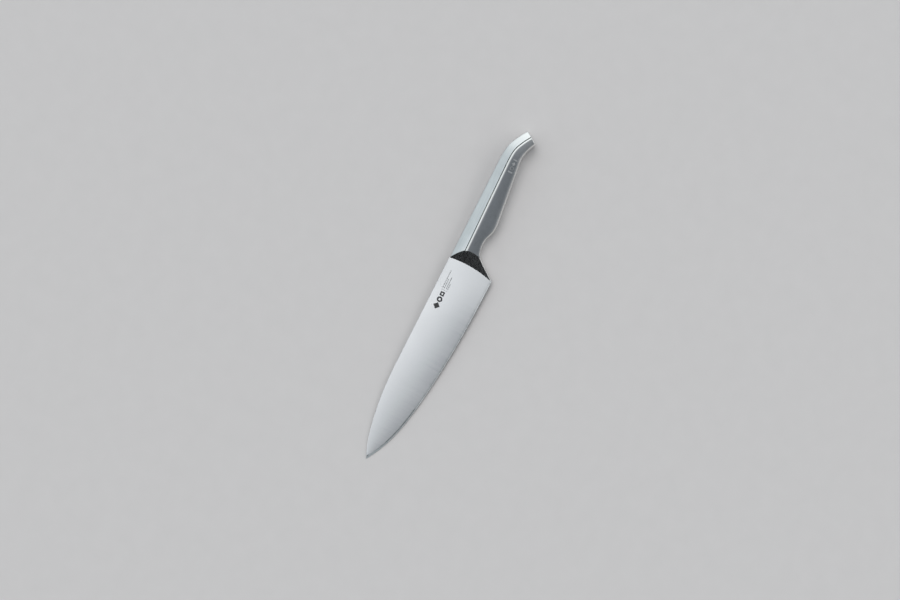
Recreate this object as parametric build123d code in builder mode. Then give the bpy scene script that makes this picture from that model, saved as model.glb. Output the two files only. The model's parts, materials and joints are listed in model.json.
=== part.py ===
"""Chef knife, all steel, with a hollow welded handle.

The knife is drawn in its own frame, and laid down on its right side at the end.
x runs from the tip to the butt, with x = 0 at the heel of the blade.
y runs from the edge to the spine, with y = 0 on the straight part of the spine.
z runs across the thickness, with z = 0 on the middle plane and the left side up.
"""
from build123d import *
from math import atan2, degrees, hypot, radians, tan
import os

os.makedirs("parts", exist_ok=True)

# --- driving dimensions, mm and degrees -------------------------------------
blade_length = 200.0
heel_height = 45.3
tip_drop = 15.3             # the tip lies this far below the spine
spine_half = 1.1            # half thickness at the heel end of the spine
grind_slope = 0.020         # loss of half thickness per mm towards the edge
distal_slope = 0.0016       # loss of half thickness per mm towards the tip
sharpening_angle = 15.0     # on each side of the middle plane

handle_top = -0.5           # the handle's straight top line, just below the spine
wall = 1.5                  # sheet thickness of the hollow handle
belly_rise = 1.4            # rise of the shallow arc that closes each section

# x of the three places that the handle's widths are given for
front_x, rear_x, butt_x = 15.0, 110.0, 139.6
ridge_half = (1.5, 5.2, 5.0)        # half width of the top ridge
groove_half = (6.4, 9.6, 8.6)       # half width along the groove
belly_half = (6.2, 9.6, 8.4)        # half width where the belly arc starts
band_height = (9.8, 7.6, 6.5)       # from the ridge down to the groove

ramp_angle = 26.0           # between the blade's face and the bolster's ramp
ramp_radius = 110.0         # of the curved line where the ramp leaves the blade
ramp_axis = (-105.9, -20.0)
rim_x = 15.2                # the rim where the ramp meets the handle's sides

spigot_end_x = 20.0         # the bolster's spigot reaches this far into the handle
tang_end_x = 46.0
tang_top, tang_bottom = -7.0, -18.5
tang_relief = 0.1           # step down from the blade's sides to what the bolster covers
support_x, support_thickness = 42.0, 3.0
ballast_length = 30.0
cap_thickness = 3.0
fill_radius = 2.0
seat_gap = 0.02             # between the shells and what sits inside them

# Sections along the handle: a point on its top line and a point on its belly.
bolster_stations = [
    ((2.6, handle_top), (0.3, -44.2)),
    ((6.0, handle_top), (5.2, -37.9)),
    ((9.0, handle_top), (9.0, -32.8)),
    ((12.0, handle_top), (12.0, -29.1)),
]
finger_stations = [
    ((15.0, handle_top), (15.0, -25.8)),
    ((19.0, handle_top), (19.0, -24.0)),
    ((26.0, handle_top), (26.0, -22.8)),
    ((34.0, handle_top), (34.0, -23.8)),
    ((40.0, handle_top), (40.0, -26.0)),
    ((46.0, handle_top), (46.0, -26.9)),
    ((52.0, handle_top), (52.0, -26.5)),
]
palm_start, palm_belly, palm_rise = 58, -25.8, 0.123    # the palm's belly is straight and rises
palm_stations = [((x, handle_top), (x, palm_belly + palm_rise * (x - palm_start)))
                 for x in range(palm_start, 105, 7)]
hook_stations = [
    ((107.0, -0.55), (106.6, -19.75)),
    ((114.0, -1.0), (112.3, -19.1)),
    ((121.0, -2.4), (117.8, -19.65)),
    ((128.0, -5.4), (122.8, -20.85)),
    ((134.2, -8.8), (127.2, -22.6)),
    ((butt_x, -12.4), (131.2, -24.4)),
]
stations = bolster_stations + finger_stations + palm_stations + hook_stations
first_handle_station = 2    # the groove starts here, under the front end of the spine cap

# Outlines seen from the side. The edge and the rim run on past the knife where they cut.
spine_line = [(-blade_length, -tip_drop), (-186, -9.8), (-170, -5.8), (-146, -2.0), (-106, 0)]
edge_line = [(30, -45.6), (0, -heel_height), (-46, -44.4), (-94, -41.4), (-142, -35.4),
             (-172, -28.4), (-190, -21.0), (-blade_length, -tip_drop), (-214, -5)]
blade_rear = [(2.6, 0), (2.6, -2.5), (9, tang_top), (tang_end_x, tang_top),
              (tang_end_x, tang_bottom), (12, -20), (4.5, -33), (0.3, -44.2), (0, -heel_height)]
rim_line = [(3.4, -1), (10, -6), (13.9, -10.2), (rim_x, -18), (rim_x, -22)]

# --- what follows from them ---------------------------------------------------
far = 250.0                 # reach of the cutting forms, beyond any piece
ramp_slope = tan(radians(ramp_angle))
ramp_depth, ramp_reach = 1.05, 14.0     # of the cone, below and above the spine's face
bevel_height = 1.5                      # of the sharpened form, more than the blade's half
tip_half = spine_half - grind_slope * tip_drop - distal_slope * blade_length
tip_rest_x = -194.0         # the blade touches the table just behind its tip
rest_pitch = degrees(atan2(groove_half[1] - tip_half, rear_x - tip_rest_x))


def along(values, x):
    """A width at x, from its values at the front, the rear and the butt."""
    front, rear, butt = values
    if x <= front_x:
        return front
    if x <= rear_x:
        return front + (rear - front) * (x - front_x) / (rear_x - front_x)
    return rear + (butt - rear) * (x - rear_x) / (butt_x - rear_x)


def section_depth(top, belly):
    """Distance from the top line to the belly in one section."""
    return hypot(belly[0] - top[0], belly[1] - top[1])


def section_plane(top, belly):
    """Plane of a section: local x points down to the belly, local y along z."""
    down = Vector(*belly) - Vector(*top)
    return Plane(origin=top, x_dir=down, z_dir=down.cross(Vector(0, 0, 1)))


def section(top, belly, inset):
    """Five-sided section with an arched belly, set in from the outer skin by inset."""
    x = top[0]
    ridge, groove, height = along(ridge_half, x), along(groove_half, x), along(band_height, x)
    slope = (groove - ridge) / height
    slant = hypot(1.0, slope)
    ridge_in = ridge + inset * (slope - slant)
    groove_in = groove - inset
    height_in = height + inset * (slant - 1.0) / slope
    belly_in = along(belly_half, x) - inset
    depth_in = section_depth(top, belly) - inset
    side_end = depth_in - belly_rise
    with BuildSketch(section_plane(top, belly)) as outline:
        with BuildLine():
            Polyline((side_end, -belly_in), (height_in, -groove_in), (inset, -ridge_in),
                     (inset, ridge_in), (height_in, groove_in), (side_end, belly_in))
            ThreePointArc((side_end, belly_in), (depth_in, 0), (side_end, -belly_in))
        make_face()
    return outline.sketch


def groove_point(top, belly):
    """Where the groove crosses a section, seen from the side."""
    part_way = along(band_height, top[0]) / section_depth(top, belly)
    return (top[0] + part_way * (belly[0] - top[0]), top[1] + part_way * (belly[1] - top[1]))


# --- shared forms ---------------------------------------------------------------
# Outer skin of bolster and handle as one body.
with BuildPart() as outer_form:
    loft(sections=[section(top, belly, 0.0) for top, belly in stations])

# The space inside the sheet, and the same with the seat gap taken off.
with BuildPart() as inner_form:
    loft(sections=[section(top, belly, wall) for top, belly in stations])

with BuildPart() as core_form:
    loft(sections=[section(top, belly, wall + seat_gap) for top, belly in stations])

# Everything that the two conical ramps of the bolster cut away.
with BuildPart() as above_ramps:
    with Locations((*ramp_axis, spine_half - ramp_depth)):
        Cone(ramp_radius - ramp_depth / ramp_slope, ramp_radius + ramp_reach / ramp_slope,
             ramp_depth + ramp_reach, align=(Align.CENTER, Align.CENTER, Align.MIN))
    mirror(about=Plane.XY)

# Everything behind the rim where ramp and handle meet, seen from the side.
with BuildPart() as behind_rim:
    with BuildSketch():
        with BuildLine():
            rim = Spline(*rim_line)
            Polyline(rim @ 1, (rim_x, -far), (far, -far), (far, far), (rim_line[0][0], far), rim @ 0)
        make_face()
    extrude(amount=far, both=True)

# Everything above the groove between the spine cap and the grip shells.
with BuildPart() as above_groove:
    with BuildSketch():
        with BuildLine():
            handle_stations = stations[first_handle_station:]
            groove = Spline(*[groove_point(top, belly) for top, belly in handle_stations])
            Polyline(groove @ 1, (far, (groove @ 1).Y), (far, far), (-far, far),
                     (-far, (groove @ 0).Y), groove @ 0)
        make_face()
    extrude(amount=far, both=True)

# --- blade: ground flat on both sides, sharpened, with a stub tang ----------------
left_side = Plane(origin=(0, 0, spine_half), x_dir=(1, 0, distal_slope),
                  z_dir=(-distal_slope, -grind_slope, 1))

# Everything outside the two flat grinds.
with BuildPart() as outside_grind:
    with BuildSketch(left_side):
        Rectangle(2 * far, 2 * far)
    extrude(amount=far)
    mirror(about=Plane.XY)

# The layer that the tang is thinner by, as far forward as the ramps cover it.
with BuildPart() as tang_step:
    with BuildSketch(left_side.offset(-tang_relief)):
        Rectangle(2 * far, 2 * far)
    extrude(amount=2 * tang_relief)
    mirror(about=Plane.XY)
    add(above_ramps.part, mode=Mode.SUBTRACT)

# Everything inside the two sharpened bevels, which meet along the edge.
with BuildPart() as inside_bevels:
    with BuildSketch():
        with BuildLine():
            edge = Spline(*edge_line)
            Polyline(edge @ 1, (edge_line[-1][0], 40), (60, 40), (60, edge_line[0][1]), edge @ 0)
        make_face()
    extrude(amount=bevel_height, taper=90 - sharpening_angle)
    mirror(about=Plane.XY)

with BuildPart() as blade:
    with BuildSketch():
        with BuildLine():
            spine = Spline(*spine_line, tangents=[(14, 6), (1, 0)])
            Polyline(spine @ 1, *blade_rear, (0, -60), (-blade_length, -60), spine @ 0)
        make_face()
    extrude(amount=spine_half, both=True)
    add(inside_bevels.part, mode=Mode.INTERSECT)
    add(outside_grind.part, mode=Mode.SUBTRACT)
    add(tang_step.part, mode=Mode.SUBTRACT)

# --- bolster: two ramps, a closed rear, and a spigot into the handle --------------
with BuildPart() as bolster_front:
    add(outer_form.part)
    add(behind_rim.part, mode=Mode.SUBTRACT)

with BuildPart() as bolster:
    add(core_form.part)
    split(bisect_by=Plane.YZ.offset(spigot_end_x), keep=Keep.BOTTOM)
    add(bolster_front.part)
    add(above_ramps.part, mode=Mode.SUBTRACT)
    add(blade.part, mode=Mode.SUBTRACT)

# --- hollow handle: spine cap and two grip shells ------------------------------------
with BuildPart() as sheet:
    add(outer_form.part)
    add(behind_rim.part, mode=Mode.INTERSECT)
    add(inner_form.part, mode=Mode.SUBTRACT)
    add(above_ramps.part, mode=Mode.SUBTRACT)

with BuildPart() as spine_cap:
    add(sheet.part)
    add(above_groove.part, mode=Mode.INTERSECT)

with BuildPart() as grip_shell_left:
    add(sheet.part)
    add(above_groove.part, mode=Mode.SUBTRACT)
    split(bisect_by=Plane.XY, keep=Keep.TOP)

with BuildPart() as grip_shell_right:
    add(sheet.part)
    add(above_groove.part, mode=Mode.SUBTRACT)
    split(bisect_by=Plane.XY, keep=Keep.BOTTOM)

# --- sealed inside the handle: plate on the tang's end, and the balancing fill ---------
with BuildPart() as tang_support:
    add(core_form.part)
    split(bisect_by=Plane.YZ.offset(support_x), keep=Keep.TOP)
    split(bisect_by=Plane.YZ.offset(support_x + support_thickness), keep=Keep.BOTTOM)
    add(blade.part, mode=Mode.SUBTRACT)

with BuildPart() as ballast:
    add(core_form.part)
    split(bisect_by=Plane.YZ.offset(tang_end_x), keep=Keep.TOP)
    split(bisect_by=Plane.YZ.offset(tang_end_x + ballast_length), keep=Keep.BOTTOM)

# --- butt: closing plate set into the shells, with a plugged filling hole -----------------
butt_end = section_plane(*stations[-1])         # its normal points into the handle
butt_middle = section_depth(*stations[-1]) / 2

with BuildPart() as fill_plug:
    with BuildSketch(butt_end):
        with Locations((butt_middle, 0)):
            Circle(fill_radius)
    extrude(amount=cap_thickness)

with BuildPart() as butt_cap:
    add(core_form.part)
    split(bisect_by=butt_end.offset(cap_thickness), keep=Keep.BOTTOM)
    add(fill_plug.part, mode=Mode.SUBTRACT)

# --- laid down: the widest part of the handle and the blade's end touch the table -----------
pieces = [blade, bolster, spine_cap, grip_shell_left, grip_shell_right,
          tang_support, ballast, butt_cap, fill_plug]
for piece in pieces:
    piece.part.move(Rotation(0, -rest_pitch, 0))
low = [min(getattr(piece.part.bounding_box().min, axis) for piece in pieces) for axis in "XYZ"]
high = [max(getattr(piece.part.bounding_box().max, axis) for piece in pieces) for axis in "XYZ"]
for piece in pieces:
    piece.part.move(Pos(-(low[0] + high[0]) / 2, -(low[1] + high[1]) / 2, -low[2]))

blade.part.label = "blade"
export_step(blade.part, "parts/blade.step")
bolster.part.label = "bolster"
export_step(bolster.part, "parts/bolster.step")
spine_cap.part.label = "spine_cap"
export_step(spine_cap.part, "parts/spine_cap.step")
grip_shell_left.part.label = "grip_shell_left"
export_step(grip_shell_left.part, "parts/grip_shell_left.step")
grip_shell_right.part.label = "grip_shell_right"
export_step(grip_shell_right.part, "parts/grip_shell_right.step")
tang_support.part.label = "tang_support"
export_step(tang_support.part, "parts/tang_support.step")
ballast.part.label = "ballast"
export_step(ballast.part, "parts/ballast.step")
butt_cap.part.label = "butt_cap"
export_step(butt_cap.part, "parts/butt_cap.step")
fill_plug.part.label = "fill_plug"
export_step(fill_plug.part, "parts/fill_plug.step")

print("rest pitch", round(rest_pitch, 4), "degrees")
print("knife's own origin at", -(low[0] + high[0]) / 2, -(low[1] + high[1]) / 2, -low[2])
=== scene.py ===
"""Chef knife, all steel: finished meshes, materials, light and camera around the CAD frame.

Shapes are made in the knife's own frame, in millimetres: x from tip to butt with 0 at the
heel, y from edge to spine with 0 on the spine, z across the thickness with 0 on the middle
plane. place() then lays them down where the CAD model lies.
"""
import json
from math import cos, pi, radians, sin, tan

import bpy
import numpy as np
from mathutils import Matrix, Vector


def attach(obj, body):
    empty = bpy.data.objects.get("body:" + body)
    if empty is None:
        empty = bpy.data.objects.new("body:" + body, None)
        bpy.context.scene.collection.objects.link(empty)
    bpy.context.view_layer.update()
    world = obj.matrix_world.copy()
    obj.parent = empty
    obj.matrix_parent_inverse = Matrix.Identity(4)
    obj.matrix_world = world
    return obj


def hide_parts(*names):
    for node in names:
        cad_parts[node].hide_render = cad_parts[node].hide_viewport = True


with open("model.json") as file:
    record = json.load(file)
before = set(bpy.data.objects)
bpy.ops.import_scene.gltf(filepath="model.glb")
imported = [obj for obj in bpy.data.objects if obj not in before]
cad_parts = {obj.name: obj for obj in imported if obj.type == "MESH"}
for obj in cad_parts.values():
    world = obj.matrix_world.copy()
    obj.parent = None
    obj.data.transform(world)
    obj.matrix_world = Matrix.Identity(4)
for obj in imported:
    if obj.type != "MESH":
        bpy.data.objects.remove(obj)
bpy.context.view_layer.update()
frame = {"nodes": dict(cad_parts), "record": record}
scene = bpy.context.scene
rng = np.random.default_rng(7)

# --- the knife's driving dimensions, mm and degrees --------------------------------------
BLADE_LENGTH, HEEL_HEIGHT = 200.0, 45.3
SPINE_HALF = 1.1                            # half thickness at the heel end of the spine
GRIND_SLOPE = 0.020                         # loss of half thickness per mm towards the edge
DISTAL_SLOPE = 0.0016                       # loss of half thickness per mm towards the tip
SHARPENING_ANGLE = 15.0                     # on each side of the middle plane
HANDLE_TOP = -0.5                           # the handle's straight top line
WALL = 1.5                                  # sheet thickness of the hollow handle
FRONT_X, REAR_X, BUTT_X = 15.0, 110.0, 139.6    # where the handle's widths are given
RIDGE_HALF = (1.5, 5.2, 5.0)                # half width of the top ridge
GROOVE_HALF = (6.4, 9.6, 8.6)               # half width along the groove
BELLY_HALF = (6.2, 9.6, 8.4)                # half width where the belly starts
BAND_HEIGHT = (9.8, 7.6, 6.5)               # from the ridge down to the groove
PALM_X, PALM_BELLY, PALM_RISE = 58, -25.8, 0.123    # the palm's belly is straight and rises
RAMP_SLOPE = tan(radians(26.0))             # of the bolster's ramps on the blade's sides
RAMP_RADIUS = 110.0                         # of the curved line where a ramp leaves the blade
RAMP_AXIS = (-105.9, -20.0)
SEAM_X = 15.1                               # the ramps' rims reach back to about here
REST_PITCH = radians(1.7195)
MOUNT_POINT = Vector((-60.0, -20.0, 0.604))     # the left side's mount, in the knife's frame
BOLSTER_TIP_X, BOLSTER_TIP_Y = 0.3, -44.2   # the bolster's lower end, behind the heel
HEEL_LIP = 1.1                              # height of the blade's heel below that end

STATIONS = [                                # points on the top line and on the belly
    ((2.6, HANDLE_TOP), (BOLSTER_TIP_X, BOLSTER_TIP_Y)),
    ((6.0, HANDLE_TOP), (5.2, -37.9)),
    ((9.0, HANDLE_TOP), (9.0, -32.8)),
    ((12.0, HANDLE_TOP), (12.0, -29.1)),
    ((15.0, HANDLE_TOP), (15.0, -25.8)),
    ((19.0, HANDLE_TOP), (19.0, -24.0)),
    ((26.0, HANDLE_TOP), (26.0, -22.8)),
    ((34.0, HANDLE_TOP), (34.0, -23.8)),
    ((40.0, HANDLE_TOP), (40.0, -26.0)),
    ((46.0, HANDLE_TOP), (46.0, -26.9)),
    ((52.0, HANDLE_TOP), (52.0, -26.5)),
    *[((x, HANDLE_TOP), (x, PALM_BELLY + PALM_RISE * (x - PALM_X)))
      for x in range(PALM_X, 105, 7)],
    ((107.0, -0.55), (106.6, -19.75)),
    ((114.0, -1.0), (112.3, -19.1)),
    ((121.0, -2.4), (117.8, -19.65)),
    ((128.0, -5.4), (122.8, -20.85)),
    ((134.2, -8.8), (127.2, -22.6)),
    ((BUTT_X, -12.4), (131.2, -24.4)),
]

# --- from the knife's frame to the row's frame --------------------------------------------
mount = next(m for m in frame["record"]["mounts"] if m["name"] == "blade_side_left")
laid_down = Matrix.Rotation(-REST_PITCH, 3, "Y")
origin = Vector(mount["pos_m"]) - laid_down @ (MOUNT_POINT / 1000)
TURN = np.array(laid_down)
ORIGIN = np.array(origin)


def place(points):
    """Knife-frame millimetres to row-frame metres, for an array of points."""
    return np.asarray(points, float) / 1000 @ TURN.T + ORIGIN


# --- curves --------------------------------------------------------------------------------
def natural_spline(xs, ys, first_slope=None, last_slope=None):
    """Cubic spline through points with rising xs, free or clamped at its ends."""
    xs, ys = np.array(xs, float), np.array(ys, float)
    step = np.diff(xs)
    count = len(xs)
    matrix, right = np.eye(count), np.zeros(count)
    for i in range(1, count - 1):
        matrix[i, i - 1:i + 2] = step[i - 1], 2 * (step[i - 1] + step[i]), step[i]
        right[i] = 6 * ((ys[i + 1] - ys[i]) / step[i] - (ys[i] - ys[i - 1]) / step[i - 1])
    if first_slope is not None:
        matrix[0, :2] = 2 * step[0], step[0]
        right[0] = 6 * ((ys[1] - ys[0]) / step[0] - first_slope)
    if last_slope is not None:
        matrix[-1, -2:] = step[-1], 2 * step[-1]
        right[-1] = 6 * (last_slope - (ys[-1] - ys[-2]) / step[-1])
    bend = np.linalg.solve(matrix, right)

    def value(x):
        x = np.clip(np.asarray(x, float), xs[0], xs[-1])
        i = np.clip(np.searchsorted(xs, x, side="right") - 1, 0, count - 2)
        h, left, ahead = step[i], x - xs[i], xs[i + 1] - x
        return (bend[i] * ahead**3 + bend[i + 1] * left**3) / (6 * h) \
            + (ys[i] / h - bend[i] * h / 6) * ahead + (ys[i + 1] / h - bend[i + 1] * h / 6) * left

    return value


station_x = [top[0] for top, belly in STATIONS]
top_y_of = natural_spline(station_x, [top[1] for top, belly in STATIONS])
belly_x_of = natural_spline(station_x, [belly[0] for top, belly in STATIONS])
belly_y_of = natural_spline(station_x, [belly[1] for top, belly in STATIONS])


def along(values, x):
    """A width at x, from its values at the front, the rear and the butt."""
    return np.interp(x, (FRONT_X, REAR_X, BUTT_X), values)


def superellipse(count, power):
    """Quarter of a rounded corner: (fall, run) from (1, 0) to (0, 1)."""
    angle = np.linspace(0, pi / 2, count)
    return np.cos(angle) ** (2 / power), np.sin(angle) ** (2 / power)


# --- meshes --------------------------------------------------------------------------------
def finish_mesh(name, points, faces, sharp_degrees, wear_and_sheen=None):
    """A shaded object from knife-frame points, riding the knife's one body."""
    mesh = bpy.data.meshes.new(name)
    mesh.from_pydata(place(points).tolist(), [], faces)
    mesh.validate()
    # one mark per point for real wear and for painted highlights, both made brighter in the
    # material
    if wear_and_sheen is not None:
        mesh.attributes.new("wear_and_sheen", "FLOAT", "POINT").data.foreach_set("value", wear_and_sheen)
    mesh.polygons.foreach_set("use_smooth", [True] * len(mesh.polygons))
    mesh.set_sharp_from_angle(angle=radians(sharp_degrees))
    piece = bpy.data.objects.new(name, mesh)
    scene.collection.objects.link(piece)
    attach(piece, "root")
    return piece


def quad(a, b, c, d, flip):
    return (d, c, b, a) if flip else (a, b, c, d)


def grid_faces(index, flip=False):
    """Quads between neighbouring entries of a two-dimensional array of vertex numbers."""
    rows, columns = index.shape
    return [quad(index[j, i], index[j, i + 1], index[j + 1, i + 1], index[j + 1, i], flip)
            for j in range(rows - 1) for i in range(columns - 1)]


def sheet_mesh(name, outer, inner, wear_and_sheen, sharp_degrees=32):
    """Closed mesh of a sheet between an outer grid of points, partly marked as worn and as painted
    highlight, and an inner one.
    """
    rows, columns = outer.shape[:2]
    out = np.arange(rows * columns).reshape(rows, columns)
    into = out + rows * columns
    faces = grid_faces(out) + grid_faces(into, True)
    faces += grid_faces(np.stack([out[:, 0], into[:, 0]], axis=1), True)
    faces += grid_faces(np.stack([out[:, -1], into[:, -1]], axis=1))
    faces += grid_faces(np.stack([out[0], into[0]], axis=0), True)
    faces += grid_faces(np.stack([out[-1], into[-1]], axis=0))
    points = np.concatenate([outer.reshape(-1, 3), inner.reshape(-1, 3)])
    wear_and_sheen = np.concatenate([wear_and_sheen.ravel(), 0 * wear_and_sheen.ravel()])
    return finish_mesh(name, points, faces, sharp_degrees, wear_and_sheen)


def loop_mesh(name, loops, sharp_degrees=32, wear_and_sheen=None):
    """Closed mesh of closed loops of points, one after another, capped at both ends."""
    rows, columns = loops.shape[:2]
    index = np.arange(rows * columns).reshape(rows, columns)
    faces = grid_faces(np.concatenate([index, index[:, :1]], axis=1))
    faces += [tuple(index[0][::-1]), tuple(index[-1])]
    return finish_mesh(name, loops.reshape(-1, 3), faces, sharp_degrees,
                       None if wear_and_sheen is None else wear_and_sheen.ravel())


# --- the handle's section --------------------------------------------------------------------
GROOVE_HALF_WIDTH = 0.28
INNER_GAP = -0.01                           # the inner skins overlap and so close the groove
HALF_GAP = 0.01                             # between the middle plane and each grip shell
BEVEL_RUN, BEVEL_FALL = 1.9, 0.75           # rounded upper edge of the grip shells
BELLY_ROUND, BELLY_POWER = (1.2, 2.4), 2.4  # the belly's rounding, up the side, front and rear
HEEL_ROUND = 1.1                            # the same at the bolster's lower end
PANEL_CROWN = 0.4                           # swell of the grip's sides between groove and belly
BAND_CROWN = 0.35                           # swell of the spine cap's bands at their front end
RIDGE_ROUND = 0.9
END_ROUND = 0.7                             # rounding of the tube's edge at the butt


def section_frame(s):
    """Top point, direction down to the belly and depth of the sections at s."""
    top = np.stack([s, top_y_of(s)], axis=-1)
    belly = np.stack([belly_x_of(s), belly_y_of(s)], axis=-1)
    depth = np.linalg.norm(belly - top, axis=-1)
    return top, (belly - top) / depth[..., None], depth


def in_section(s, depth, half):
    """Knife-frame points at depths and half widths in the sections at s."""
    top, down, _ = section_frame(s)
    xy = top + down * depth[..., None]
    return np.concatenate([xy, np.broadcast_to(half, depth.shape)[..., None]], axis=-1)


def end_inset(s):
    """How far the skin is drawn in to round the tube's edge at the butt."""
    past = np.clip((s - (BUTT_X - END_ROUND)) / END_ROUND, 0, 1)
    return END_ROUND * (1 - np.sqrt(1 - past**2))


def cap_outline(s, inset, lip_gap):
    """Half of the spine cap's skin from ridge to groove, as depths and half widths at s."""
    ridge, groove, height = along(RIDGE_HALF, s), along(GROOVE_HALF, s), along(BAND_HEIGHT, s)
    slope = (groove - ridge) / height
    ridge = np.maximum(ridge + inset * (slope - np.hypot(1, slope)), 0.1)
    reach = np.minimum(RIDGE_ROUND, 0.8 * ridge)
    lip = height - lip_gap
    rows = [(inset + 0 * s, (ridge - reach) * f) for f in np.linspace(0, 1, 5)[:-1]]
    rows += [(inset + reach * f**2, ridge - reach * (1 - f) ** 2 + slope * reach * f**2)
             for f in np.linspace(0, 1, 9)]
    start = inset + reach
    swell = np.interp(s, (15, 40), (BAND_CROWN, 0))
    rows += [(start + (lip - start) * f,
              ridge + slope * (start - inset + (lip - start) * f) + 4 * swell * f * (1 - f))
             for f in np.linspace(0, 1, 17)[1:]]
    return rows


def grip_outline(s, inset, lip_gap):
    """A grip shell's skin from the groove round to the middle of the belly."""
    groove, height = along(GROOVE_HALF, s), along(BAND_HEIGHT, s)
    depth = section_frame(s)[2]
    start = height + lip_gap
    fall, run = superellipse(9, 2.0)
    rows = [(start + BEVEL_RUN * (1 - f), groove - inset - BEVEL_FALL * (1 - r))
            for f, r in zip(fall, run)]
    side_start = start + BEVEL_RUN
    rounding = np.interp(s, (FRONT_X, 45), BELLY_ROUND)
    side_end = depth - inset - rounding
    belly = along(BELLY_HALF, s) - inset
    rows += [(side_start + (side_end - side_start) * f, (groove - inset) * (1 - f) + belly * f)
             for f in np.linspace(0, 1, 19)[1:-1]]
    fall, run = superellipse(25, BELLY_POWER)
    rows += [(side_end + rounding * r, belly * f) for f, r in zip(fall, run)]
    sink = np.interp(s, (30, 90), (0, PANEL_CROWN))
    crowned = []
    for row_depth, half in rows:
        u = np.clip((row_depth - start) / (depth - inset - start), 0, 1)
        crowned.append((row_depth, half * (1 + (4 * PANEL_CROWN * u * (1 - u) - sink) / groove)))
    return crowned


RIDGE_BEND = 8                              # the middle row of the ridge's rounding in cap_outline
BEVEL_END = 8                               # the last row of the upper edge in grip_outline
GRIP_SIDE_END = 26                          # the row where the belly starts in grip_outline


# --- outlines of the blade, and where the bolster's ramps meet blade and handle ---------------
CROWN = 0.018                               # bulge of the blade's sides, by their height
HEEL_FLATNESS, HEEL_REACH = 0.7, 50.0       # loss of that bulge at the heel, and its reach
edge_y_of = natural_spline((-214, -BLADE_LENGTH, -190, -172, -142, -94, -46, 0, 30),
                           (-5, -15.3, -21.0, -28.4, -35.4, -41.4, -44.4, -HEEL_HEIGHT, -45.6))
back_y_of = natural_spline((-BLADE_LENGTH, -186, -170, -146, -106),
                           (-15.3, -9.8, -5.8, -2.0, 0), first_slope=6 / 14, last_slope=0)


def ramp_height(x, y):
    """Half thickness of the bolster on its ramps."""
    return SPINE_HALF + RAMP_SLOPE * (np.hypot(x - RAMP_AXIS[0], y - RAMP_AXIS[1]) - RAMP_RADIUS)


def face_height(x, y):
    """Half thickness of the blade with its slightly crowned sides, before it is sharpened."""
    flat = SPINE_HALF + GRIND_SLOPE * y + DISTAL_SLOPE * np.minimum(x, 0)
    above, below = np.maximum(back_y_of(x) - y, 0), np.maximum(y - edge_y_of(x), 0)
    near_heel = 0.5 + 0.5 * np.cos(pi * np.clip(-x / HEEL_REACH, 0, 1))
    crown = CROWN * (1 - HEEL_FLATNESS * near_heel)
    return flat + crown * above * below / (above + below + 0.001)   # 0.001: no division by zero


def junction_x(y):
    """Where the ramp leaves the blade's side, at a height y."""
    x = 0 * y + 2.0
    for _ in range(20):
        radius = RAMP_RADIUS + (face_height(x, y) - SPINE_HALF) / RAMP_SLOPE
        x = RAMP_AXIS[0] + np.sqrt(radius**2 - (y - RAMP_AXIS[1]) ** 2)
    return x


def crease_starts(outline, first, last):
    """For each row of an outline, the section where its skin comes out of the ramp."""
    s = np.linspace(STATIONS[0][0][0], SEAM_X + 1.5, 600)
    starts = []
    for depth, half in outline(s, 0.0, GROOVE_HALF_WIDTH):
        point = in_section(s, depth, half)
        proud = point[:, 2] - ramp_height(point[:, 0], point[:, 1])
        above = np.nonzero(proud > 0)[0]
        k = above[-1] if len(above) else 0
        k = min(k, len(s) - 2)
        share = proud[k] / (proud[k] - proud[k + 1]) if proud[k] > 0 > proud[k + 1] else 0.0
        starts.append(s[k] + share * (s[k + 1] - s[k]))
    starts = np.array(starts)
    starts[:first] = starts[first]
    starts[last:] = starts[last]
    return starts


cap_starts = crease_starts(cap_outline, RIDGE_BEND, -1)
grip_starts = crease_starts(grip_outline, 0, GRIP_SIDE_END)
end_steps = 1 - END_ROUND / (BUTT_X - FRONT_X) * np.linspace(1, 0, 9) ** 1.5
steps = np.concatenate([np.linspace(0, end_steps[0], 170)[:-1], end_steps])


def skin(outline, starts, inset, lip_gap, rounded):
    """Grid of points of one skin: sections along the handle by rows of the outline."""
    columns = []
    for i, start in enumerate(starts):
        s = start + (BUTT_X - start) * steps
        depth, half = outline(s, inset + (end_inset(s) if rounded else 0), lip_gap)[i]
        columns.append(in_section(s, depth, half))
    return np.stack(columns, axis=1)


def mirrored(points):
    return points * np.array([1.0, 1.0, -1.0])


# --- wear and painted highlight, from 0 to 1: rubbed steel and painted highlights are brighter ---
CAP_RUB, GRIP_RUB = 0.85, 0.14              # of the hook, where the hand's heel rests
HOOK_START = 0.78                           # the hook's share of the handle's length starts here


def belly_wear_and_sheen(share):
    """Wear and painted highlight round the belly, from its edge at 0 to the middle plane at 1."""
    return np.interp(share, (0.5, 0.95), (1.0, 0.65))


LIP_POLISH_AND_SHEEN = [1, 1, 1, 1, 1, 0.95, 0.8, 0.5, 0.22, 0.06]      # rows of a grip from the groove: a polished edge, painted bright as a highlight
BELLY_WEAR_AND_SHEEN = [0.03, 0.05, 0.08, 0.11, 0.15, 0.2, 0.26, 0.34, 0.45, 0.6, 0.8,
              *belly_wear_and_sheen(np.linspace(0.4, 1, 16))]         # rows of a grip to the middle plane: painted lighter towards the belly as sheen, and worn edge
GROOVE_WEAR_AND_SHEEN = [0.0, 0.3]                                    # rows of the spine cap to the groove: edge painted lighter, highlight and wear


def wear_and_sheen_grid(count, at_start, at_end, hook):
    """Wear and painted highlight of a skin's points: given for its first and last rows, on the hook
    and at the butt, whose rounded end is painted brightest as a highlight.
    """
    wear_and_sheen = np.zeros(count)
    wear_and_sheen[:len(at_start)] = at_start
    wear_and_sheen[count - len(at_end):] = at_end
    butt = np.interp(steps, (HOOK_START, end_steps[0], end_steps[3]), (0, hook, 1))
    return np.maximum(wear_and_sheen[None, :], butt[:, None])


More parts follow.
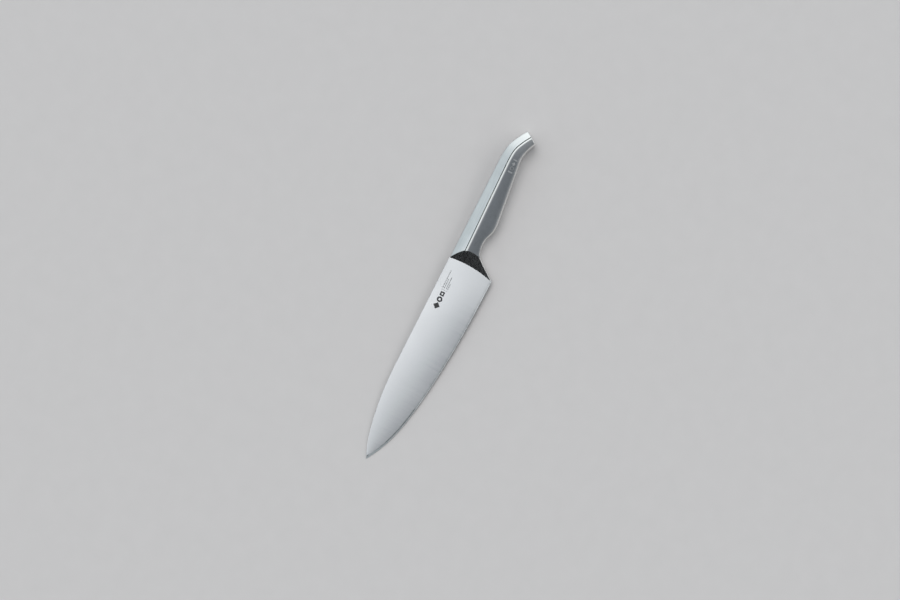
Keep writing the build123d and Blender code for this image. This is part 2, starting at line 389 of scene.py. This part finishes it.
def make_spine_cap():
    """The inverted channel along the handle's top, both halves in one sheet."""
    outer = skin(cap_outline, cap_starts, 0.0, GROOVE_HALF_WIDTH, True)
    inner = skin(cap_outline, cap_starts, WALL, INNER_GAP, False)
    both = [np.concatenate([mirrored(half[:, :0:-1]), half], axis=1) for half in (outer, inner)]
    # painted highlight along the groove edge and round the butt's end, with the hook's wear
    wear_and_sheen = wear_and_sheen_grid(outer.shape[1], [], GROOVE_WEAR_AND_SHEEN, CAP_RUB)
    return sheet_mesh("spine_cap_finished", *both, np.concatenate([wear_and_sheen[:, :0:-1], wear_and_sheen], axis=1))


def make_grip(name, side):
    """One side panel of the handle, from the groove to the middle of the belly."""
    outer = skin(grip_outline, grip_starts, 0.0, GROOVE_HALF_WIDTH, True)
    inner = skin(grip_outline, grip_starts, WALL, INNER_GAP, False)
    outer[:, -1, 2] = inner[:, -1, 2] = HALF_GAP
    # painted highlight on the upper lip, lighter belly and butt's end, with the hook's wear
    wear_and_sheen = wear_and_sheen_grid(outer.shape[1], LIP_POLISH_AND_SHEEN, BELLY_WEAR_AND_SHEEN, GRIP_RUB)
    if side < 0:
        outer, inner, wear_and_sheen = mirrored(outer)[:, ::-1], mirrored(inner)[:, ::-1], wear_and_sheen[:, ::-1]
    return sheet_mesh(name, outer, inner, wear_and_sheen)


def make_bolster():
    """Ramps on both sides, the underside down to the heel, and a hidden flat rear."""
    rims, bellies = [], []
    for outline, starts, first, last in ((cap_outline, cap_starts, RIDGE_BEND, None),
                                         (grip_outline, grip_starts, 0, GRIP_SIDE_END + 1)):
        for i in range(len(starts))[first:last]:
            s = starts[i:i + 1]
            depth, half = outline(s, 0.0, GROOVE_HALF_WIDTH)[i]
            rims.append(in_section(s, depth, half)[0])
            bellies.append(rims[-1])
    s = np.linspace(grip_starts[-1], STATIONS[0][0][0] + 0.05, 60)      # down to the heel
    depth = section_frame(s)[2]
    share = (s - s[-1]) / (s[0] - s[-1])
    rise = HEEL_ROUND + (BELLY_ROUND[0] - HEEL_ROUND) * share
    lower = in_section(s, depth - rise, 0.0)[1:]
    lower[:, 2] = ramp_height(lower[:, 0], lower[:, 1])
    rims += list(lower)
    bellies = bellies[:-1] + list(in_section(s, depth, 0.0))
    rims, bellies = np.array(rims), np.array(bellies)
    fronts = np.stack([junction_x(rims[:, 1]), rims[:, 1]], axis=1)
    fall, run = superellipse(17, BELLY_POWER)
    flat = np.linspace(0, 1, 17)
    f = flat[:-1, None]
    loops, wear_and_sheen = [], []
    for k, (front, rim, belly) in enumerate(zip(fronts, rims, bellies)):
        xy = front + (rim[:2] - front) * f
        height = ramp_height(xy[:, 0], xy[:, 1])[:, None] - 0.01 * (1 - f)
        ramp = np.concatenate([xy, height], axis=1)
        around = k >= len(rims) - len(lower) - 1
        drop, reach = (fall, run) if around else (1 - flat, 0 * flat)
        under = rim[:2] + (belly[:2] - rim[:2]) * reach[:, None]
        under = np.concatenate([under, (rim[2] * drop)[:, None]], axis=1)
        half = np.concatenate([ramp, under])
        loops.append(np.concatenate([half, mirrored(half[:-1][::-1])]))
        # the underside painted lighter round the belly: wear and painted highlight
        rub_and_sheen = np.concatenate([0 * f[:, 0], belly_wear_and_sheen(flat) * around])
        rub_and_sheen[len(f) - 1] = 0.5 * around       # the edge between ramp and underside, painted half bright as a highlight
        wear_and_sheen.append(np.concatenate([rub_and_sheen, rub_and_sheen[:-1][::-1]]))
    return loop_mesh("bolster_finished", np.array(loops)[:, ::-1], 24, np.array(wear_and_sheen)[:, ::-1])


# --- blade -----------------------------------------------------------------------------------
SPINE_ROUND = 0.35
BLADE_TUCK = 0.8                            # reach of the blade's sides in under the ramps
EDGE_HALF, EDGE_STEP = 0.003, 0.004         # least half thickness, and the bevels' at the edge


def make_blade():
    """Flat-ground blade with a rounded spine, sharpened bevels and a point."""
    travel = np.linspace(0, 1, 260) ** 0.93         # closer together towards the tip
    share = np.linspace(0, 1, 40)
    columns = []
    for t in travel:
        base = -(BLADE_LENGTH - 0.02) * t
        rear = (1 - t) ** 24                        # the columns straighten ahead of the heel
        y_rear = -HEEL_HEIGHT * share
        shift = np.where(y_rear > BOLSTER_TIP_Y,
                         junction_x(np.maximum(y_rear, BOLSTER_TIP_Y)) + BLADE_TUCK,
                         BOLSTER_TIP_X * (HEEL_HEIGHT + y_rear) / HEEL_LIP) * rear
        x = base + shift
        top, edge = back_y_of(x), edge_y_of(x)
        height = top - edge
        lean = np.hypot(1, (edge_y_of(x + 0.5) - edge_y_of(x - 0.5)))
        bevel = face_height(x, edge) / tan(radians(SHARPENING_ANGLE)) * lean
        shoulder = np.minimum(bevel, 0.45 * height)
        rounding = np.minimum(SPINE_ROUND, 0.3 * height)
        fall, run = superellipse(7, 2.0)
        half = []
        for f, r in zip(fall[::-1], run[::-1]):
            half.append((x[0], top[0] - rounding[0] * (1 - r), face_height(x[0], top[0]) * f))
        y = (top - rounding) + (edge + shoulder - top + rounding) * share
        face = np.stack([x, y, face_height(x, y)], axis=1)
        honing = (y - edge) / lean * tan(radians(SHARPENING_ANGLE)) + EDGE_STEP
        face[:, 2] = np.maximum(np.minimum(face[:, 2], honing), EDGE_HALF)
        half = np.concatenate([half, face[1:], [(x[-1], edge[-1], 0.0)]])
        columns.append(np.concatenate([half, mirrored(half[1:-1][::-1])]))
    # the sharpened bevel painted a little lighter, a painted highlight against the dark it reflects
    painted_bevel_light = np.zeros(len(half))
    painted_bevel_light[-3:] = 0.1
    painted_bevel_light = np.concatenate([painted_bevel_light, painted_bevel_light[1:-1][::-1]])
    wear_and_sheen = np.tile(painted_bevel_light, (len(columns), 1))
    return loop_mesh("blade_finished", np.array(columns)[:, ::-1], 12, wear_and_sheen[:, ::-1])


# --- butt: closing plate and plug, seen only from behind -----------------------------------------
PLATE_SINK, PLATE_ROUND = 0.35, 0.4
PLATE_THICKNESS, PLATE_GAP = 3.0, 0.03
PLUG_RADIUS, PLUG_RISE, PLUG_LENGTH = 1.9, 0.25, 2.5


def butt_outline(inset):
    """Closed outline inside the tube at the butt: depths and half widths."""
    s = np.array([BUTT_X])
    half = [(float(d[0]), float(h[0])) for d, h in cap_outline(s, inset, 0.0)]
    half += [(float(d[0]), float(h[0])) for d, h in grip_outline(s, inset, 0.0)[BEVEL_END:]]
    half = np.array(half)
    other = half[1:-1][::-1] * np.array([1.0, -1.0])
    return np.concatenate([half, other])


def at_butt(outline, sink):
    """Knife-frame points of an outline, sunk by a distance into the tube."""
    top, down, _ = section_frame(np.array([BUTT_X]))
    inward = np.array([down[0][1], -down[0][0]])
    xy = top[0] + outline[:, :1] * down[0] + inward * sink
    return np.concatenate([xy, outline[:, 1:]], axis=1)


def make_butt_cap():
    """The plate that closes the tube, with a rounded outer edge."""
    loops = [at_butt(butt_outline(WALL + PLATE_GAP), PLATE_THICKNESS)]
    fall, run = superellipse(6, 2.0)
    for f, r in zip(fall, run):
        edge = WALL + PLATE_GAP + PLATE_ROUND * (1 - f)
        loops.append(at_butt(butt_outline(edge), PLATE_SINK + PLATE_ROUND * (1 - r)))
    return loop_mesh("butt_cap_finished", np.array(loops), 30)


def make_fill_plug():
    """The domed plug in the middle of the plate."""
    middle = section_frame(np.array([BUTT_X]))[2][0] / 2
    turn = np.linspace(0, 2 * pi, 48, endpoint=False)
    rings = [(PLUG_RADIUS, PLUG_LENGTH), (PLUG_RADIUS, PLATE_SINK)]
    rings += [(PLUG_RADIUS * cos(a), PLATE_SINK - PLUG_RISE * sin(a))
              for a in np.linspace(0.15, 1.45, 8)]
    loops = []
    for radius, sink in rings:
        ring = np.stack([middle + radius * np.cos(turn), radius * np.sin(turn)], axis=1)
        loops.append(at_butt(ring, sink))
    return loop_mesh("fill_plug_finished", np.array(loops)[:, ::-1], 40)


# --- print on the blade and relief on the grip: plain shapes -------------------------------------
PRINT_RISE, RELIEF_RISE = 0.012, 0.32
PLATE_DEPTH = 0.05                          # how far such a shape reaches into what it is on


def ngon(cx, cy, radius, sides, turn=0.0):
    """A regular polygon's outline."""
    angle = np.linspace(0, 2 * pi, sides, endpoint=False) + turn
    return np.stack([cx + radius * np.cos(angle), cy + radius * np.sin(angle)], axis=1)


def box_outline(x0, x1, y0, y1):
    """An upright rectangle's outline."""
    return np.array([(x0, y0), (x1, y0), (x1, y1), (x0, y1)], float)


def side_of_grip(x, y):
    """Half width of the grip's side near the hook, where its sections stand nearly upright."""
    top, down, depth = section_frame(x)
    height = along(BAND_HEIGHT, x) + GROOVE_HALF_WIDTH
    u = np.clip((((top[..., 1] - y) / -down[..., 1]) - height) / (depth - height), 0, 1)
    return along(GROOVE_HALF, x) + PANEL_CROWN * (4 * u * (1 - u) - 1)


def plate_mesh(name, outlines, height_of, rise, inset, sharp_degrees=40):
    """Closed plates on a curved face: outlines as (outer, hole or None), with sloping sides."""
    points, faces = [], []
    for outer, hole in outlines:
        rings = []
        for ring, way in ((outer, 1), (hole, -1)):
            if ring is None:
                continue
            middle = ring.mean(axis=0)
            reach = np.linalg.norm(ring - middle, axis=1).max()
            shrunk = middle + (ring - middle) * (1 - way * inset / reach)
            base = height_of(ring[:, 0], ring[:, 1])
            top = height_of(shrunk[:, 0], shrunk[:, 1]) + rise
            first = len(points)
            points += [(x, y, z - PLATE_DEPTH) for (x, y), z in zip(ring, base)]
            points += [(x, y, z) for (x, y), z in zip(shrunk, top)]
            low = np.arange(first, first + len(ring))
            high = low + len(ring)
            closed = [np.append(row, row[0]) for row in (low, high)]
            faces += grid_faces(np.stack(closed), way < 0)
            rings.append((low, high))
        if hole is None:
            low, high = rings[0]
            faces += [tuple(high), tuple(low[::-1])]
        else:
            closed = [np.append(row, row[0]) for row in (*rings[0], *rings[1])]
            faces += grid_faces(np.stack([closed[1], closed[3]]))
            faces += grid_faces(np.stack([closed[0], closed[2]]), True)
    return finish_mesh(name, np.array(points), faces, sharp_degrees)


def make_print():
    """Three plain shapes on the blade: a lozenge, a ring and a square ring."""
    mark = [(ngon(-43.0, -9.6, 3.3, 4), None),
            (ngon(-36.6, -9.6, 2.7, 40), ngon(-36.6, -9.6, 1.1, 40)),
            (box_outline(-33.1, -28.9, -11.7, -7.5), box_outline(-31.8, -30.2, -10.4, -8.8))]
    return plate_mesh("blade_mark", mark, face_height, PRINT_RISE, 0.02)


def make_fine_print():
    """A thin rule and four rows of dashes of uneven lengths."""
    lines = [(box_outline(-27.4, -27.15, -13.0, -6.4), None)]
    for y, last in ((-7.2, -8.3), (-8.8, -16.0), (-10.8, -13.5), (-12.3, -20.0)):
        x = -25.5
        while x < last:
            width = rng.uniform(0.9, 2.4)
            lines.append((box_outline(x, min(x + width, last + 0.4), y - 0.33, y + 0.33), None))
            x += width + rng.uniform(0.35, 0.6)
    return plate_mesh("blade_fine_print", lines, face_height, PRINT_RISE, 0.01)


def make_relief():
    """Four low raised shapes on the left grip: a bar, a ring, a lozenge and a bar."""
    shapes = [(box_outline(97.2, 98.6, -17.2, -12.2), None),
              (ngon(101.7, -14.8, 2.0, 40), ngon(101.7, -14.8, 1.05, 40)),
              (ngon(106.0, -14.6, 2.1, 4), None),
              (box_outline(109.2, 110.4, -16.6, -12.2), None)]
    return plate_mesh("grip_relief", shapes, side_of_grip, RELIEF_RISE, 0.3)


pieces = {
    "blade": make_blade(),
    "bolster": make_bolster(),
    "spine_cap": make_spine_cap(),
    "grip_shell_left": make_grip("grip_left_finished", 1),
    "grip_shell_right": make_grip("grip_right_finished", -1),
    "butt_cap": make_butt_cap(),
    "fill_plug": make_fill_plug(),
}
for node, piece in pieces.items():
    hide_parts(node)
mark = make_print()
fine_print = make_fine_print()
relief = make_relief()


# --- materials ------------------------------------------------------------------------------------
def add(tree, kind, inputs=None, **settings):
    """A node with its settings and its inputs, each a value or another node's output."""
    node = tree.nodes.new(kind)
    for key, value in settings.items():
        setattr(node, key, value)
    for key, value in (inputs or {}).items():
        if isinstance(value, bpy.types.NodeSocket):
            tree.links.new(value, node.inputs[key])
        else:
            node.inputs[key].default_value = value
    return node


def grain(tree, scale, detail=3.0):
    """Noise over the object, with its own number of features per metre along each axis."""
    where = add(tree, "ShaderNodeTexCoord").outputs["Object"]
    fit = add(tree, "ShaderNodeMapping", {"Vector": where, "Scale": scale}).outputs["Vector"]
    noise = add(tree, "ShaderNodeTexNoise", {"Vector": fit, "Scale": 1.0, "Detail": detail})
    return noise.outputs["Fac"]


def remap(tree, value, low, high, start=0.3, end=0.7, kind="LINEAR"):
    """From low to high as the value goes from start to end, and no further."""
    return add(tree, "ShaderNodeMapRange", {"Value": value, "From Min": start, "From Max": end,
                                            "To Min": low, "To Max": high},
               interpolation_type=kind).outputs["Result"]


def remap_to(tree, factor, a, b):
    """Between two numbers or outputs, by a factor."""
    return add(tree, "ShaderNodeMix", {0: factor, 2: a, 3: b}, data_type="FLOAT").outputs[0]


def math(tree, operation, a, b):
    """The result of one arithmetic step on numbers or outputs."""
    return add(tree, "ShaderNodeMath", {0: a, 1: b}, operation=operation).outputs["Value"]


def blend_colors(tree, factor, a, b):
    """Between two colours or outputs, by a factor."""
    return add(tree, "ShaderNodeMix", {0: factor, 6: a, 7: b}, data_type="RGBA").outputs[2]


def shade(tree, color, amount, factor):
    """A colour that varies by an amount up and down with a factor."""
    darker, lighter = [(*[min(c * change, 1.0) for c in color], 1)
                       for change in (1 - amount, 1 + amount)]
    return blend_colors(tree, factor, darker, lighter)


# bright colour for worn steel and for highlights painted on edges
WORN_AND_SHEEN_COLOR, WORN_ROUGH = (0.85, 0.848, 0.835, 1), 0.30
BUMP_HEIGHT = 0.00005                       # of a bump's relief at full strength, in metres


def steel(name, color, rough, fine, fine_tint, broad=40, broad_tint=0.02, bump=0.1, uneven=0.03,
          lines=None, stretch=0.0):
    """Bare steel: fine and broad variation in tint, gloss and surface, and brushing along lines.

    Where the mesh marks wear or a painted highlight, the steel is brighter and smoother: part real
    wear, part painted highlight.
    """
    material = bpy.data.materials.new(name)
    material.use_nodes = True
    tree = material.node_tree
    shader = tree.nodes["Principled BSDF"]
    near, far = grain(tree, fine), grain(tree, (broad, broad, broad), 2.0)
    tint = fine_tint + broad_tint
    share = math(tree, "ADD", math(tree, "MULTIPLY", remap(tree, near, 0.0, 1.0), fine_tint / tint),
                 math(tree, "MULTIPLY", remap(tree, far, 0.0, 1.0), broad_tint / tint))
    wear_and_sheen = add(tree, "ShaderNodeAttribute", attribute_name="wear_and_sheen").outputs["Fac"]
    # marked edges painted brighter: part wear, part painted highlight
    tree.links.new(blend_colors(tree, wear_and_sheen, shade(tree, color, tint, share), WORN_AND_SHEEN_COLOR),
                   shader.inputs["Base Color"])
    gloss = math(tree, "ADD", remap(tree, near, rough - uneven, rough + uneven),
                 remap(tree, far, -uneven / 1.5, uneven / 1.5))
    tree.links.new(remap_to(tree, wear_and_sheen, gloss, WORN_ROUGH), shader.inputs["Roughness"])
    relief = add(tree, "ShaderNodeBump",
                 {"Height": near, "Strength": bump, "Distance": BUMP_HEIGHT})
    tree.links.new(relief.outputs["Normal"], shader.inputs["Normal"])
    shader.inputs["Metallic"].default_value = 1.0
    if lines:
        tangent = add(tree, "ShaderNodeCombineXYZ", dict(zip((0, 1, 2), lines))).outputs["Vector"]
        tree.links.new(tangent, shader.inputs["Tangent"])
        shader.inputs["Anisotropic"].default_value = stretch
    return material


def matt(name, color, rough, size=900.0, change=0.08, gloss=0.5):
    """A surface that isn't bare metal, with a faint fleck."""
    material = bpy.data.materials.new(name)
    material.use_nodes = True
    tree = material.node_tree
    shader = tree.nodes["Principled BSDF"]
    shader.inputs["Specular IOR Level"].default_value = gloss
    fleck = grain(tree, (size, size, size))
    tree.links.new(shade(tree, color, change, remap(tree, fleck, 0.0, 1.0)),
                   shader.inputs["Base Color"])
    tree.links.new(remap(tree, fleck, rough - 0.05, rough + 0.05), shader.inputs["Roughness"])
    relief = add(tree, "ShaderNodeBump",
                 {"Height": fleck, "Strength": 0.1, "Distance": BUMP_HEIGHT})
    tree.links.new(relief.outputs["Normal"], shader.inputs["Normal"])
    return material


BLASTED = (1800, 1800, 1800)                # grains per metre
BRUSHED = (60, 900, 60)                     # lines along the knife
CROSS_GROUND = (900, 9, 9)                  # lines across the blade
looks = {
    "blade": steel("satin_blade", (0.78, 0.79, 0.805), 0.22, CROSS_GROUND, 0.045, 25, 0.012,
                   bump=0.012, lines=(1, 0, 0), stretch=0.5),
    "bolster": steel("bolster_steel", (0.61, 0.60, 0.61), 0.27, BRUSHED, 0.06, 150, 0.03,
                     bump=0.03, uneven=0.012, lines=(0, 1, 0), stretch=0.3),
    "spine_cap": steel("brushed_cap", (0.64, 0.66, 0.67), 0.34, BRUSHED, 0.045, 120, 0.03,
                       lines=(0, 1, 0), stretch=0.4),
    "grip_shell_left": steel("blasted_grip", (0.195, 0.206, 0.222), 0.50, BLASTED, 0.08, 220, 0.05,
                             bump=0.25),
    "butt_cap": steel("cap_plate", (0.55, 0.56, 0.57), 0.40, BLASTED, 0.06, 300, 0.04),
    "fill_plug": steel("plug_steel", (0.60, 0.61, 0.62), 0.30, BLASTED, 0.05, 300, 0.03),
}
looks["grip_shell_right"] = looks["grip_shell_left"]
for node, piece in pieces.items():
    piece.data.materials.append(looks[node])
mark.data.materials.append(matt("dark_etch", (0.028, 0.028, 0.03), 0.5))
fine_print.data.materials.append(matt("grey_etch", (0.13, 0.135, 0.14), 0.5))
relief.data.materials.append(steel("raised_shapes", (0.36, 0.37, 0.38), 0.33, BLASTED, 0.05, 400,
                                   0.06))
inner_steel = steel("inner_steel", (0.50, 0.51, 0.52), 0.45, BLASTED, 0.06)
sand = matt("ballast_sand", (0.50, 0.43, 0.33), 0.9, 700.0, 0.25)
for node, look in (("tang_support", inner_steel), ("ballast", sand)):
    frame["nodes"][node].data.materials.clear()
    frame["nodes"][node].data.materials.append(look)


# --- stage, light and camera ----------------------------------------------------------------------
PALE = 0.56                                 # brightness of the horizon, as bright as the floor
COOL, COOLER, WARM = (0.87, 0.965, 1, 1), (0.70, 0.83, 1, 1), (1, 0.99, 0.975, 1)
NEUTRAL, HORIZON = (0.985, 0.995, 1, 1), (0.99, 0.99, 1, 1)


def make_floor():
    """A plain pale table, wide enough to reach the horizon in every view."""
    half = 8.0
    mesh = bpy.data.meshes.new("floor")
    corners = [(-half, -half, 0), (half, -half, 0), (half, half, 0), (-half, half, 0)]
    mesh.from_pydata(corners, [], [(0, 1, 2, 3)])
    floor = bpy.data.objects.new("floor", mesh)
    scene.collection.objects.link(floor)
    mesh.materials.append(matt("pale_floor", (0.537, 0.519, 0.519), 0.8, 60.0, 0.01, 0.0))


def glow(tree, direction, towards, outer, inner, strength):
    """A round soft light in the sky: angles from its middle, in degrees, and its strength."""
    middle = Vector(towards).normalized()
    dot = add(tree, "ShaderNodeVectorMath", {0: direction, 1: middle}, operation="DOT_PRODUCT")
    return remap(tree, dot.outputs["Value"], 0.0, strength,
                 cos(radians(outer)), cos(radians(inner)), "SMOOTHSTEP")


def make_world():
    """Soft studio light on steel, by direction: a large light on the spine's side, a weaker one
    on the edge's side, three round ones, a dark patch beyond the tip, and a pale horizon.
    """
    world = bpy.data.worlds.new("studio")
    world.use_nodes = True
    tree = world.node_tree
    direction = add(tree, "ShaderNodeTexCoord").outputs["Generated"]
    x, y, z = add(tree, "ShaderNodeSeparateXYZ", {0: direction}).outputs
    slanted = math(tree, "ADD", y, math(tree, "MULTIPLY", x, 0.6))
    fade = remap(tree, slanted, 0.0, 1.0, -0.145, -0.03, "SMOOTHSTEP")
    side = math(tree, "MULTIPLY", math(tree, "MULTIPLY", fade, 1.3),
                remap(tree, y, 0.0, 1.0, -0.3, -0.05, "SMOOTHSTEP"))
    side = math(tree, "MULTIPLY", side, remap(tree, z, 0.58, 0.95, 0.55, 0.95, "SMOOTHSTEP"))
    behind = remap(tree, y, 0.05, 0.50, -0.18, -0.50, "SMOOTHSTEP")
    hook = glow(tree, direction, (0.62, 0.55, 0.56), 34, 8, 0.46)
    rim = glow(tree, direction, (0.34, -0.72, 0.60), 31, 10, 0.95)
    neck = glow(tree, direction, (0.60, -0.50, 0.62), 26, 8, 0.80)
    lit = math(tree, "SUBTRACT", 1.0, glow(tree, direction, (-0.78, -0.02, 0.62), 34, 17, 0.95))
    above = remap(tree, z, 0.0, 1.0, 0.03, 0.30, "SMOOTHSTEP")
    shown = math(tree, "MULTIPLY", above, lit)
    white = math(tree, "ADD", math(tree, "ADD", hook, rim), neck)
    horizon = math(tree, "MULTIPLY", math(tree, "SUBTRACT", 1.0, above), PALE)
    overhead = remap(tree, z, 0.0, 1.0, 0.60, 0.97, "SMOOTHSTEP")
    tint = blend_colors(tree, overhead, COOL, NEUTRAL)
    tint = blend_colors(tree, fade, COOLER, tint)
    skies = [add(tree, "ShaderNodeBackground", {"Color": color, "Strength": strength})
             for color, strength in ((tint, math(tree, "MULTIPLY", side, shown)),
                                     (COOL, math(tree, "MULTIPLY", behind, shown)),
                                     (WARM, math(tree, "MULTIPLY", white, shown)),
                                     (HORIZON, horizon))]
    total = skies[0]
    for sky in skies[1:]:
        total = add(tree, "ShaderNodeAddShader", {0: total.outputs[0], 1: sky.outputs[0]})
    tree.links.new(total.outputs[0], tree.nodes["World Output"].inputs["Surface"])
    scene.world = world


def make_table_light():
    """Broad sun-like light for the table and the shadow on it, kept out of the steel."""
    light = bpy.data.lights.new("overhead", "SUN")
    light.energy = 0.9
    light.angle = radians(35)
    lamp = bpy.data.objects.new("overhead", light)
    lamp.location = (0.5, 0.9, 2.4)
    lamp.rotation_euler = (-Vector(lamp.location)).to_track_quat("-Z", "Y").to_euler()
    lamp.visible_glossy = False
    scene.collection.objects.link(lamp)


def make_camera():
    """Square on to the knife's left side, rolled as in the photograph, far off with a long lens."""
    lens, sensor = 100.0, 36.0
    width_at_knife = 0.837
    aim = Vector(place([(-32.89, -18.56, 0.0)])[0])
    lean = radians(63.2)
    right = laid_down @ Vector((cos(lean), -sin(lean), 0))
    up = laid_down @ Vector((sin(lean), cos(lean), 0))
    back = right.cross(up)
    turn = Matrix((right, up, back)).transposed().to_4x4()
    camera = bpy.data.objects.new("camera", bpy.data.cameras.new("camera"))
    camera.data.lens, camera.data.sensor_width = lens, sensor
    camera.matrix_world = Matrix.Translation(aim + back * (width_at_knife * lens / sensor)) @ turn
    scene.collection.objects.link(camera)
    scene.camera = camera


make_floor()
make_world()
make_table_light()
make_camera()
scene.view_settings.view_transform = "Standard"
